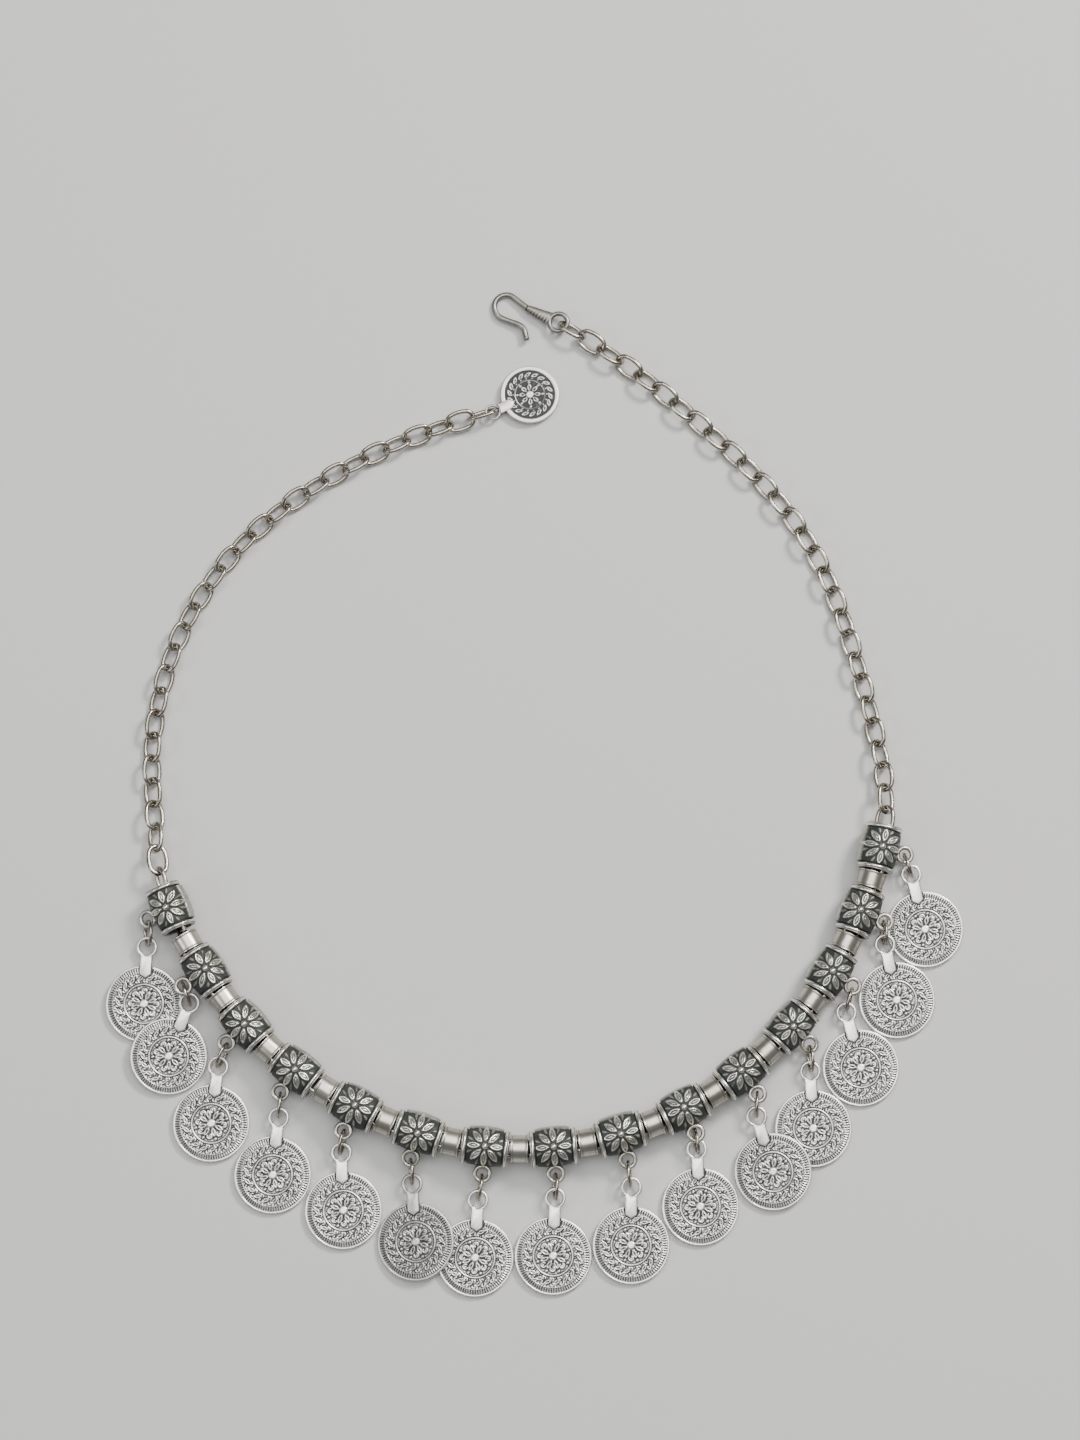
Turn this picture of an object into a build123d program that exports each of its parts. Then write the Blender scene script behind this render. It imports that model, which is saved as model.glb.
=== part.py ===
from build123d import *
import math
import os

# A silver coin necklace that lies open on a table. Sizes are in millimetres and angles in degrees.
# X runs to the right, Y towards the clasp and Z up. The coins hang towards -Y.

# Chain link: round wire bent to an oval.
link_length = 6.55
link_width = 4.55
link_wire = 0.90
link_end_share = 0.92
link_clearance = 0.10
link_roll = 38.0
link_roll_spread = 8.0

# Flower bead: a barrel with end rims, raised flowers and a loop.
bead_length = 9.15
bead_bore_clearance = 0.60
bead_middle_diameter = 7.50
bead_shoulder_diameter = 6.90
bead_relief = 0.35
bead_rim_diameter = 7.20
bead_rim_width = 0.90
bead_rim_rounding = 0.27
bead_groove_width = 0.30
bead_groove_diameter = 6.30
bead_panel_angle = 54.0
loop_inner_diameter = 2.04
loop_wire = 0.90
loop_gap_to_bead = 0.10
loop_droop = 8.0

# Flower on a bead.
petal_count = 8
petal_start = 0.85
petal_length = 2.85
petal_width = 1.25
petal_slit_length = 1.10
petal_slit_width = 0.24
flower_dot_diameter = 1.30
flower_dot_height = 0.20

# Spacer tube between two beads, whose length comes from the coins that the beads carry.
spacer_bore_clearance = 0.25
spacer_wall = 0.25
spacer_lip_rise = 0.09
spacer_lip_width = 0.35
string_gap = 0.38

# Coin charm.
coin_diameter = 15.0
coin_thickness = 0.70
coin_relief = 0.17
coin_rim_width = 0.38
coin_inner_ring_diameter = 8.0
coin_inner_ring_width = 0.36
coin_leaf_count = 18
coin_leaf_length = 1.55
coin_leaf_width = 0.72
coin_leaf_turn = 32.0
coin_star_count = 8
coin_star_length = 1.75
coin_star_width = 0.85
coin_star_gap = 0.17
coin_boss_diameter = 1.50
strap_width = 2.40
strap_thickness = 0.72
strap_top_above_rim = 0.08
strap_tip_from_edge = 2.50
strap_tip_height = 0.55
coin_ring_inner_diameter = 2.84
coin_ring_wire = 0.70
coin_ring_from_edge = 3.65
ring_neck_share = 0.9

# Coins that hang side by side keep this gap. They spread out below the string as if from a centre
# this far above the beads, so the beads stand closer than the coins.
coin_gap = 0.18
coin_fan_radius = 150.0

# Jump ring between a bead's loop and a coin's ring.
jump_ring_diameter = 5.40
jump_ring_wire = 0.68

# End coin, which closes the necklace with the hook.
end_coin_diameter = 11.9
end_coin_thickness = 0.70
end_coin_rim_width = 0.85
end_coin_inner_ring_diameter = 6.4
end_coin_star_length = 1.30
end_strap_width = 2.20
end_strap_tip_from_edge = 2.50
end_ring_inner_diameter = 2.30
end_ring_wire = 0.52
end_ring_from_edge = 2.45
end_link_reach = 0.10
end_coin_heading = 116.6
end_coin_lean = 3.6

# Hook.
hook_wire = 1.15
hook_eye_inner_diameter = 2.75
hook_eye_wire = 0.98
hook_eye_reach = 1.00
hook_neck_width = 2.90
hook_neck_thickness = 0.90
hook_neck_from_eye = 1.10
hook_collar_diameter = 1.26
hook_collar_length = 1.10
hook_tip_rounding = 0.50
hook_collar_rounding = 0.25
hook_body_start_diameter = 1.50
hook_lean = 5.0
hook_lean_side = 115.0

# Bent shape of the hook's wire, from its tip to its body, from the centre of the eye: x, y, bend radius.
HOOK_CORNERS = [
    (-6.55, -3.20, None),
    (-7.10, -0.70, 2.20),
    (-13.10, 1.75, 2.90),
    (-13.10, 8.85, 2.40),
    (-6.20, 3.10, None),
]

# Route of the chain from the end coin's ring to the hook's eye, seen from above and chosen by hand: x, y.
ROUTE = [
    (-9.5, 63.0),
    (-20.2, 59.7),
    (-31.5, 55.2),
    (-42.2, 49.5),
    (-52.0, 42.8),
    (-60.8, 34.7),
    (-68.0, 24.9),
    (-73.2, 14.2),
    (-76.3, 2.5),
    (-77.3, -9.5),
    (-76.4, -20.5),
    (-75.2, -30.8),
    (-72.7, -38.4),
    (-65.6, -50.8),
    (-57.7, -61.1),
    (-35.8, -77.3),
    (-10.2, -85.0),
    (15.6, -82.5),
    (39.2, -70.6),
    (56.9, -51.1),
    (67.0, -26.8),
    (68.5, -18.5),
    (67.9, -9.0),
    (66.4, -1.0),
    (64.2, 8.0),
    (61.6, 17.4),
    (58.2, 27.2),
    (53.4, 36.9),
    (47.2, 45.6),
    (40.0, 53.4),
    (32.0, 60.8),
    (23.6, 68.0),
    (14.8, 74.6),
    (4.6, 81.2),
]

# The chain lies on the table, rises to the beads' bores over a short way beside the string and a
# little at its ends, where a lift of 1 would be the bores' height. The string's middle lies this far
# past the route's middle.
chain_climb_length = 20.0
end_coin_lift = 0.22
hook_lift = 0.12
end_climb_length = 11.0
route_step = 5.0
string_offset = 2.3

# Twist of the chain about its own line, by share of its length: share, degrees.
TWIST = [
    (0.00, 34.0),
    (0.02, 4.0),
    (0.25, -4.0),
    (0.30, 32.0),
    (0.34, 0.0),
    (0.68, 0.0),
    (0.74, 4.0),
    (0.90, -6.0),
    (0.96, 0.0),
    (1.00, 18.0),
]

# Beads and coins from left to right. Roll turns a bead's loop down and gap is the extra space after
# the bead. Hang is the way from the loop to the coin's ring, slack how far the two are pulled apart
# and slant how far the jump ring leans. Swing is the coin's own way, and rise how much higher its edge
# lies towards side. Ways are seen from above and counted anticlockwise from the way that the bead
# faces, outward from the string, and side from the strap.
COINS = [
    # roll, gap, hang, slack, slant, swing, rise, side
    (9.0, 1.00, 65.6, 0.9, 20.0, 63.6, 0.84, 0.0),
    (-6.0, 0.00, 75.9, -0.8, 2.0, 34.9, 1.70, -48.0),
    (1.0, 0.00, 27.6, 0.5, -8.0, 40.6, 0.60, 0.0),
    (0.0, 0.35, 30.3, 0.6, 5.0, 31.3, 0.76, 0.0),
    (-3.0, 0.00, 18.7, 0.1, -6.0, 29.7, 0.58, 0.0),
    (4.0, 0.00, 20.3, 0.5, 6.0, 21.3, 2.09, 92.0),
    (0.0, 0.00, -2.9, 0.8, 4.0, 3.1, 0.71, 0.0),
    (1.0, 0.00, -7.5, 0.3, 7.0, -7.5, 0.68, 0.0),
    (2.0, 0.00, -9.3, 0.9, -5.0, -16.3, 0.76, 0.0),
    (-3.0, 0.00, -20.8, -1.0, 3.0, -23.8, 0.52, 0.0),
    (-5.0, 0.00, -38.4, 0.0, -5.0, -21.4, 1.75, 60.0),
    (6.0, 0.00, -44.9, 0.8, 6.0, -45.9, 0.65, 0.0),
    (2.0, 0.00, -71.3, 0.9, -7.0, -44.3, 0.52, 0.0),
    (-3.0, 0.00, -66.0, 0.0, 5.0, -56.0, 0.94, 0.0),
    (3.0, 0.00, -55.8, -0.4, -4.0, -61.8, 0.60, 0.0),
]

# Sizes worked out from the ones above.
link_half_length = (link_length - link_wire) / 2
link_half_width = (link_width - link_wire) / 2
taut_pitch = link_length - 2 * link_wire - link_clearance
steepest_roll = math.radians(link_roll + link_roll_spread)
chain_lying_height = link_half_width * math.sin(steepest_roll) + link_wire / 2
bead_outer_radius = bead_middle_diameter / 2 + bead_relief
string_height = bead_outer_radius + flower_dot_height
loop_hole_radius = loop_inner_diameter / 2
loop_reach = bead_outer_radius + loop_gap_to_bead + loop_hole_radius
jump_ring_radius = (jump_ring_diameter - jump_ring_wire) / 2
bead_count = len(COINS)
bead_bore = link_width + bead_bore_clearance
spacer_bore = link_width + spacer_bore_clearance
spacer_diameter = spacer_bore + 2 * spacer_wall
spacer_lip_diameter = spacer_diameter + 2 * spacer_lip_rise
coin_ring_from_centre = coin_diameter / 2 + coin_ring_from_edge
strap_tip_from_centre = coin_diameter / 2 - strap_tip_from_edge
coin_reach = loop_reach + 2 * jump_ring_radius + coin_ring_from_centre
bead_pitch = (coin_diameter + coin_gap) / (1 + coin_reach / coin_fan_radius)
spacer_length = bead_pitch - bead_length - 2 * string_gap
end_ring_from_centre = end_coin_diameter / 2 + end_ring_from_edge
end_strap_tip_from_centre = end_coin_diameter / 2 - end_strap_tip_from_edge
coin_ring_height = coin_thickness / 2 + coin_relief + strap_top_above_rim - strap_thickness / 2
hook_eye_radius = (hook_eye_inner_diameter + hook_eye_wire) / 2
cut_margin = 1.0


def arc_oval(half_length, half_width, end_share):
    """Closed path of four tangent arcs in the XY plane, long along X."""
    end_radius = end_share * half_width
    end_centre = half_length - end_radius
    side_radius = (end_centre**2 + half_width**2 - end_radius**2) / (2 * (half_width - end_radius))
    joint_angle = math.atan2(side_radius - half_width, end_centre)
    joint_x = end_centre + end_radius * math.cos(joint_angle)
    joint_y = end_radius * math.sin(joint_angle)
    return Wire([
        ThreePointArc((joint_x, joint_y), (0, half_width), (-joint_x, joint_y)),
        ThreePointArc((-joint_x, joint_y), (-half_length, 0), (-joint_x, -joint_y)),
        ThreePointArc((-joint_x, -joint_y), (0, -half_width), (joint_x, -joint_y)),
        ThreePointArc((joint_x, -joint_y), (half_length, 0), (joint_x, joint_y)),
    ])


def bent_wire(path, diameter):
    """Round wire along a path."""
    start = Plane(origin=path @ 0, z_dir=path % 0)
    return sweep(start * Circle(diameter / 2), path=path)


def leaf(start, length, width, angle):
    """Pointed leaf outline in the XY plane, which starts at a distance from the origin."""
    middle = start + length / 2
    outline = ThreePointArc((start, 0), (middle, width / 2), (start + length, 0))
    outline += ThreePointArc((start + length, 0), (middle, -width / 2), (start, 0))
    return Rot(0, 0, angle) * make_face(outline)


def barrel(middle_diameter, shoulder_diameter, length):
    """Solid barrel about Z with a rounded side."""
    side = ThreePointArc(
        (shoulder_diameter / 2, 0, -length / 2),
        (middle_diameter / 2, 0, 0),
        (shoulder_diameter / 2, 0, length / 2),
    )
    rest = Polyline(
        (shoulder_diameter / 2, 0, length / 2),
        (0, 0, length / 2),
        (0, 0, -length / 2),
        (shoulder_diameter / 2, 0, -length / 2),
    )
    return revolve(make_face(side + rest), Axis.Z)


def flower_bead():
    """Bead about Z, with its loop towards +X and its flowers towards -Y and +Y."""
    field_length = bead_length - 2 * (bead_rim_width + bead_groove_width)
    field = barrel(bead_middle_diameter, bead_shoulder_diameter, field_length)
    skin = barrel(
        bead_middle_diameter + 2 * bead_relief,
        bead_shoulder_diameter + 2 * bead_relief,
        field_length,
    )
    step = 360 / petal_count
    slit_start = petal_start + (petal_length - petal_slit_length) / 2
    flower = Sketch()
    for index in range(petal_count):
        petal = leaf(petal_start, petal_length, petal_width, index * step)
        flower += petal - leaf(slit_start, petal_slit_length, petal_slit_width, index * step)
    reach = bead_middle_diameter
    stamp = extrude(Plane.XZ * flower, amount=reach, both=True)
    edge = reach * math.tan(math.radians(bead_panel_angle / 2))
    panel_face = make_face(Polyline((0, 0), (-reach, edge), (-reach, -edge), (0, 0)))
    panel = extrude(panel_face, amount=field_length / 2, both=True)
    raised = skin & (stamp + panel)
    dot_centre = string_height - flower_dot_diameter / 2
    dots = Pos(0, -dot_centre, 0) * Sphere(flower_dot_diameter / 2)
    dots += Pos(0, dot_centre, 0) * Sphere(flower_dot_diameter / 2)
    rim = fillet(Cylinder(bead_rim_diameter / 2, bead_rim_width).edges(), bead_rim_rounding)
    rim_height = (bead_length - bead_rim_width) / 2
    rims = Pos(0, 0, rim_height) * rim + Pos(0, 0, -rim_height) * rim
    neck = Cylinder(bead_groove_diameter / 2, bead_length - bead_rim_width)
    loop = Rot(0, 0, loop_droop) * Pos(loop_reach, 0, 0) * Rot(90, 0, 0) * Torus(
        loop_hole_radius + loop_wire / 2, loop_wire / 2
    )
    return field + neck + rims + raised + dots + loop - Cylinder(bead_bore / 2, bead_length + cut_margin)


def spacer_tube():
    """Short tube about Z with a lip at each end."""
    lip_height = (spacer_length - spacer_lip_width) / 2
    tube = Cylinder(spacer_diameter / 2, spacer_length)
    for side in (-1, 1):
        tube += Pos(0, 0, side * lip_height) * Cylinder(spacer_lip_diameter / 2, spacer_lip_width)
    return tube - Cylinder(spacer_bore / 2, spacer_length + cut_margin)


def raised_band(outer_diameter, width, height):
    """Flat ring that stands out of both faces of a coin."""
    return Cylinder(outer_diameter / 2, height) - Cylinder(outer_diameter / 2 - width, height + cut_margin)


def coin_charm(diameter, thickness, rim_width, inner_ring_diameter, star_length, strap, ring):
    """Coin in the XY plane, face up, with its strap and ring towards +Y."""
    strap_wide, strap_tip = strap
    ring_inner_diameter, ring_wire, ring_from_centre = ring
    full_height = thickness + 2 * coin_relief
    charm = Cylinder(diameter / 2, thickness)
    charm += raised_band(diameter, rim_width, full_height)
    charm += raised_band(inner_ring_diameter, coin_inner_ring_width, full_height)
    band_middle = (diameter / 2 - rim_width + inner_ring_diameter / 2) / 2
    ornament = Sketch() + Circle(coin_boss_diameter / 2)
    for index in range(coin_leaf_count):
        small_leaf = leaf(-coin_leaf_length / 2, coin_leaf_length, coin_leaf_width, 90 + coin_leaf_turn)
        ornament += Rot(0, 0, index * 360 / coin_leaf_count) * Pos(band_middle, 0) * small_leaf
    star_start = coin_boss_diameter / 2 + coin_star_gap
    for index in range(coin_star_count):
        ornament += leaf(star_start, star_length, coin_star_width, (index + 0.5) * 360 / coin_star_count)
    charm += extrude(ornament, amount=full_height / 2)
    strap_top = full_height / 2 + strap_top_above_rim
    strap_end = ring_from_centre - (ring_inner_diameter + ring_wire) / 2
    outline = Polyline(
        (0, strap_tip),
        (strap_wide / 2, strap_tip + strap_tip_height),
        (strap_wide / 2, strap_end),
        (-strap_wide / 2, strap_end),
        (-strap_wide / 2, strap_tip + strap_tip_height),
        (0, strap_tip),
    )
    charm += Pos(0, 0, strap_top - strap_thickness) * extrude(make_face(outline), amount=strap_thickness)
    ring_height = strap_top - strap_thickness / 2
    eye = Torus((ring_inner_diameter + ring_wire) / 2, ring_wire / 2)
    neck = Box(strap_wide, 2 * ring_wire, ring_wire * ring_neck_share)
    neck = Pos(0, strap_end - ring_from_centre + ring_wire) * neck
    neck -= Cylinder(ring_inner_diameter / 2, strap_thickness + cut_margin)
    return charm + Pos(0, ring_from_centre, ring_height) * (eye + neck)


def leaning(heading, lean, side):
    """Turn of a coin or hook to a heading, from -Y towards +X, and up towards a side of its strap."""
    return Rot(0, 0, heading) * Rot(0, 0, -side) * Rot(lean, 0, 0) * Rot(0, 0, side)


def on_table(turn, shape):
    """Location that gives a shape this turn and sets its lowest point on the table."""
    return Pos(0, 0, -(turn * shape).bounding_box().min.Z) * turn


def string_ends(route_length):
    """Distances along the route at which the string of beads starts and ends."""
    spaces = sum(row[1] for row in COINS[:-1])
    spacers = (bead_count - 1) * (spacer_length + 2 * string_gap)
    length = bead_count * bead_length + spacers + spaces
    start = (route_length - length) / 2 + string_offset
    return start, start + length


def eased(share):
    """Smooth step from 0 to 1 over a share of a length."""
    share = min(max(share, 0), 1)
    return share * share * (3 - 2 * share)


def chain_height(distance, route_length):
    """Height of the chain's middle at a distance along the route."""
    start, end = string_ends(route_length)
    beside_string = max(start - distance, distance - end, 0)
    lift = eased(1 - beside_string / chain_climb_length)
    lift += end_coin_lift * eased(1 - distance / end_climb_length)
    lift += hook_lift * eased(1 - (route_length - distance) / end_climb_length)
    return chain_lying_height + lift * (string_height - chain_lying_height)


def route_line():
    """Smooth line through the route's points, with the chain's heights along it."""
    flat = Spline(*[(x, y, 0) for x, y in ROUTE])
    count = round(flat.length / route_step)
    points = []
    for index in range(count + 1):
        point = flat.position_at(index / count)
        points.append((point.X, point.Y, chain_height(flat.length * index / count, flat.length)))
    return Spline(*points)


def table_value(table, share):
    """Value at a share of the length, in a table of shares and values."""
    for (low, first), (high, last) in zip(table, table[1:]):
        if share <= high:
            return first + (last - first) * (share - low) / (high - low)
    return table[-1][1]


def chain_joints(line):
    """Points where one link holds the next, an even number, so that both end links lean the same way."""
    count = math.ceil(line.length / taut_pitch)
    count += 1 - count % 2
    return [line.position_at(index / count) for index in range(count + 1)]


def chain_links(joints):
    """Loose links, each one from joint to joint, rolled to alternate sides."""
    path = arc_oval(link_half_length, link_half_width, link_end_share)
    link = bent_wire(path, link_wire)
    links = []
    for index, (start, end) in enumerate(zip(joints, joints[1:])):
        along = end - start
        share = (index + 0.5) / (len(joints) - 1)
        roll = link_roll * (-1) ** index + table_value(TWIST, share)
        upward = along.cross(Vector(0, 0, 1)).cross(along)
        level = Plane(origin=(start + end) / 2, x_dir=along, z_dir=upward)
        links.append(level.location * Rot(roll, 0, 0) * link)
    return Compound(links)


def string_places(line):
    """Centre and heading of each bead and of each spacer along the route."""
    beads = []
    spacers = []
    reach = string_ends(line.length)[0]
    for index, row in enumerate(COINS):
        beads.append(string_place(line, reach + bead_length / 2, row[0]))
        reach += bead_length + string_gap
        if index < bead_count - 1:
            spacers.append(string_place(line, reach + row[1] + spacer_length / 2, 0))
            reach += row[1] + spacer_length + string_gap
    return beads, spacers


def string_place(line, distance, roll):
    """Location on the string: Z along it, X outward, and turned down by the roll."""
    share = distance / line.length
    point = line.position_at(share)
    tangent = line.tangent_at(share)
    tangent = Vector(tangent.X, tangent.Y, 0)
    outward = tangent.cross(Vector(0, 0, 1))
    level = Plane(origin=(point.X, point.Y, string_height), x_dir=outward, z_dir=tangent)
    return level.location * Rot(0, 0, roll)


def hung_coin(bead_place, coin, row):
    """Places of the coin and of the jump ring that hang on one bead."""
    hang, slack, slant, swing, rise, side = row[2:]
    lean = math.degrees(math.asin(rise / coin_diameter))
    loop = (bead_place * Rot(0, 0, loop_droop) * Pos(loop_reach, 0, 0)).position
    outward = loop - bead_place.position
    heading = math.degrees(math.atan2(outward.X, -outward.Y))
    rest = on_table(leaning(heading + swing, lean, side), coin)
    eye = (rest * Pos(0, coin_ring_from_centre, coin_ring_height)).position
    tilt = math.radians(slant)
    centre_height = jump_ring_radius * math.cos(tilt) + jump_ring_wire / 2
    loop_rise = loop.Z - centre_height
    eye_rise = eye.Z - centre_height
    near = math.sqrt(jump_ring_radius**2 - (loop_rise / math.cos(tilt)) ** 2) + slack / 2
    far = math.sqrt(jump_ring_radius**2 - (eye_rise / math.cos(tilt)) ** 2) + slack / 2
    drift = (eye_rise - loop_rise) * math.tan(tilt)
    ring_heading = heading + hang - math.degrees(math.atan2(drift, near + far))
    ring_turn = Pos(loop.X, loop.Y, 0) * Rot(0, 0, ring_heading)
    ring_centre = Pos(-loop_rise * math.tan(tilt), -near, centre_height)
    ring_place = ring_turn * ring_centre * Rot(0, slant, 0) * Rot(0, 90, 0)
    target = ring_turn * Pos(drift, -near - far, 0)
    coin_place = Pos(target.position.X - eye.X, target.position.Y - eye.Y, 0) * rest
    return coin_place, ring_place


def rounded_rod(diameter, length, rounding):
    """Short rod about Z with rounded ends."""
    rod = Cylinder(diameter / 2, length)
    return fillet(rod.edges().filter_by(GeomType.CIRCLE), rounding)


def hook_shape():
    """Hook in the XY plane with the centre of its eye at the origin."""
    points = [(x, y) for x, y, radius in HOOK_CORNERS]
    radii = [radius for x, y, radius in HOOK_CORNERS[1:-1]]
    path = FilletPolyline(*points, radius=radii)
    wire = bent_wire(path, hook_wire)
    tip_level = Plane(origin=path @ 0, z_dir=path % 0)
    tip = tip_level.location * rounded_rod(hook_collar_diameter, hook_collar_length, hook_tip_rounding)
    body_start = Vector(*points[-1])
    inward = (Vector(0, 0) - body_start).normalized()
    joint_level = Plane(origin=body_start, z_dir=inward)
    joint = rounded_rod(hook_collar_diameter, hook_collar_length, hook_collar_rounding)
    joint = joint_level.location * joint
    small_end = joint_level * Circle(hook_body_start_diameter / 2)
    level = Plane(origin=inward * -hook_neck_from_eye, x_dir=Vector(0, 0, 1), z_dir=inward)
    broad_end = level * Ellipse(hook_neck_thickness / 2, hook_neck_width / 2)
    body = loft([small_end, broad_end])
    eye = Torus(hook_eye_radius, hook_eye_wire / 2)
    hole = Cylinder(hook_eye_radius, hook_eye_wire + cut_margin)
    return wire + tip + joint + (body - hole) + eye


def hooked_on(joints, reach, rest):
    """Place on the table whose eye, at the local origin, holds the end of the outermost link."""
    last, inner = joints
    eye = last + (last - inner).normalized() * reach
    return Pos(eye.X - rest.position.X, eye.Y - rest.position.Y, 0) * rest


def necklace():
    """All pieces by name, as they lie on the table."""
    pieces = {}
    line = route_line()
    joints = chain_joints(line)
    beads, spacers = string_places(line)
    bead = flower_bead()
    spacer = spacer_tube()
    coin = coin_charm(
        coin_diameter,
        coin_thickness,
        coin_rim_width,
        coin_inner_ring_diameter,
        coin_star_length,
        (strap_width, strap_tip_from_centre),
        (coin_ring_inner_diameter, coin_ring_wire, coin_ring_from_centre),
    )
    jump_ring = Torus(jump_ring_radius, jump_ring_wire / 2)
    rings = []
    for index, (bead_place, row) in enumerate(zip(beads, COINS), start=1):
        coin_place, ring_place = hung_coin(bead_place, coin, row)
        pieces[f"flower_bead_{index:02d}"] = bead_place * bead
        pieces[f"coin_{index:02d}"] = coin_place * coin
        rings.append(ring_place * jump_ring)
    for index, place in enumerate(spacers, start=1):
        pieces[f"spacer_tube_{index:02d}"] = place * spacer
    pieces["jump_rings"] = Compound(rings)
    pieces["chain"] = chain_links(joints)
    hook = hook_shape()
    hook_rest = on_table(leaning(0, hook_lean, hook_lean_side), hook)
    pieces["clasp_hook"] = hooked_on((joints[-1], joints[-2]), hook_eye_reach, hook_rest) * hook
    end_coin = Pos(0, -end_ring_from_centre, 0) * coin_charm(
        end_coin_diameter,
        end_coin_thickness,
        end_coin_rim_width,
        end_coin_inner_ring_diameter,
        end_coin_star_length,
        (end_strap_width, end_strap_tip_from_centre),
        (end_ring_inner_diameter, end_ring_wire, end_ring_from_centre),
    )
    end_rest = on_table(leaning(end_coin_heading, end_coin_lean, 0), end_coin)
    pieces["end_coin"] = hooked_on((joints[0], joints[1]), -end_link_reach, end_rest) * end_coin
    return pieces


def centred(pieces):
    """The same pieces with the origin under the middle of the whole."""
    box = Compound(list(pieces.values())).bounding_box()
    shift = Pos(-box.center().X, -box.center().Y, 0)
    return {name: shift * piece for name, piece in pieces.items()}


os.makedirs("parts", exist_ok=True)
for name, piece in centred(necklace()).items():
    export_step(piece, f"parts/{name}.step")
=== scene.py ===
"""Silver coin necklace: detailed coins, beads, spacers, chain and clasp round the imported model."""

import math
from collections import namedtuple

import bpy
import numpy as np
from mathutils import Matrix, Vector


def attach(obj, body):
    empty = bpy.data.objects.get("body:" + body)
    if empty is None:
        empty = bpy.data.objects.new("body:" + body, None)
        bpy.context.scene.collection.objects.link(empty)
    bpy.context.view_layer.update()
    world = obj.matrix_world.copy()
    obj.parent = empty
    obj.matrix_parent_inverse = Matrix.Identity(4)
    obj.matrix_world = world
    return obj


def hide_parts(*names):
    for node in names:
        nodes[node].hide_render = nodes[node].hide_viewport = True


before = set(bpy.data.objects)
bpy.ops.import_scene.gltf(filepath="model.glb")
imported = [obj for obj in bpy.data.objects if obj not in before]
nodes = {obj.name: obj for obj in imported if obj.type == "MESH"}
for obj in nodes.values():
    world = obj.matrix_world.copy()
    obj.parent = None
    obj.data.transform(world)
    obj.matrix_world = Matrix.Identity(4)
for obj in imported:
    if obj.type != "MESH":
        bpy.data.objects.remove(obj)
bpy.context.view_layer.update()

# Sizes are in millimetres until a mesh is made, and then in metres. Angles are in degrees. Wear is 0 in a
# dark recess and 1 on a bright top, and on a coin's face it is also lowered as painted shadow beside the
# strap.
# A pair such as RIM_SLOPE says where a change starts and ends.
MM = 0.001

# Camera: it looks down at the table as the photograph does.
CAMERA_ELEVATION = 80.5
CAMERA_DISTANCE = 670.0
CAMERA_LENS = 83.75
CAMERA_SENSOR = 36.0
CAMERA_AIM = (0.94, 12.66)
CAMERA_CLIP_START = 10.0
CAMERA_CLIP_END = 10000.0

# Floor, with half its side in metres.
FLOOR_REACH = 8.0
FLOOR_COLOUR = (0.56, 0.555, 0.545, 1)
FLOOR_ROUGHNESS = 0.9

# Light from all round, and round softboxes: name, place and size in metres, power in watts, colour.
WORLD_COLOUR = (0.90, 0.95, 1.0, 1)
WORLD_STRENGTH = 0.22
SOFTBOXES = [
    ("softbox", (0.05, 0.20, 1.15), 1.1, 12.5, (1.0, 0.995, 0.985)),
    ("key", (0.62, 0.62, 0.85), 0.30, 15.0, (1.0, 0.98, 0.95)),
    ("fill", (-0.95, -0.30, 0.80), 0.5, 3.5, (0.95, 0.97, 1.0)),
]

# Beads, each with a coin, with a spacer between every two. One coin's silver is darker than the rest:
# painted shade, as that coin leans.
BEAD_COUNT = 15
PAINTED_SHADE_COIN = 6

# Edges that turn by more than this are sharp.
SHARP_ANGLE = 65
SPACER_SHARP_ANGLE = 40

# Coin, with its radii from the rim inward.
COIN_RADIUS = 7.50
COIN_HALF_HEIGHT = 0.52
COIN_RELIEF = 0.17
EDGE_DROP = 0.06
RIM_WIDTH = 0.38
RIM_SLOPE = (-0.06, 0.02)
TICK_COUNT = 88
TICK_OUTER = 7.06
TICK_INNER = 6.16
TICK_MARGIN_OUTER = 0.02
TICK_MARGIN_INNER = 0.05
TICK_HEIGHT = 0.9
LEDGE_INNER = 6.04
LEDGE_LEVEL = 0.85
LEAF_BAND = 5.06
LEAF_BAND_WIDTH = 1.90
INNER_RING = 3.82
INNER_RING_WIDTH = 0.24
ROSETTE_EDGE = 3.44
STAR_REACH = 3.26
STAR_LENGTH = 1.75

# Slanted leaves of a coin's band, each with a sunk rib, and the dots and curls between them, which stand
# inside and outside the band's middle. The curls are flipped in every third gap.
LEAF_COUNT = 18
LEAF_LENGTH = 1.55
LEAF_WIDTH = 0.72
LEAF_TURN = 122
LEAF_RIB_SHARE = 0.5
LEAF_RIB_WIDTH = 0.16
LEAF_DOT_REACH = 0.78
LEAF_DOT_SIDE = 0.36
INNER_DOT_RADIUS = 0.15
OUTER_DOT_RADIUS = 0.16
OUTER_CURL_REACH = 0.46
OUTER_CURL = {"radius": 0.30, "start": -150, "end": 90, "width": 0.24}
INNER_CURL_REACH = 0.50
INNER_CURL = {"radius": 0.27, "start": 30, "end": 270, "width": 0.23}
FLIPPED_GAP = 1
FLIP_PERIOD = 3

# Rosette of a coin: a boss, a star of leaves with a sunk rib, dots at their tips and curls between them.
# Insets are from the star's reach inward.
BOSS_RADIUS = 0.75
STAR_COUNT = 8
STAR_START = 0.92
STAR_WIDTH = 0.85
STAR_RIB_SHARE = 0.55
STAR_RIB_WIDTH = 0.20
STAR_RIB_BACK = 0.1
TIP_DOT_RADIUS = 0.24
TIP_DOT_INSET = 0.10
STAR_CURL_INSET = 0.72
STAR_CURL = {"radius": 0.44, "start": -165, "end": 105, "width": 0.26}
CURL_DOT_INSET = 0.66
CURL_DOT_SIDE = 0.02
CURL_DOT_RADIUS = 0.15
RIB_MARGIN = 0.05

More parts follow.
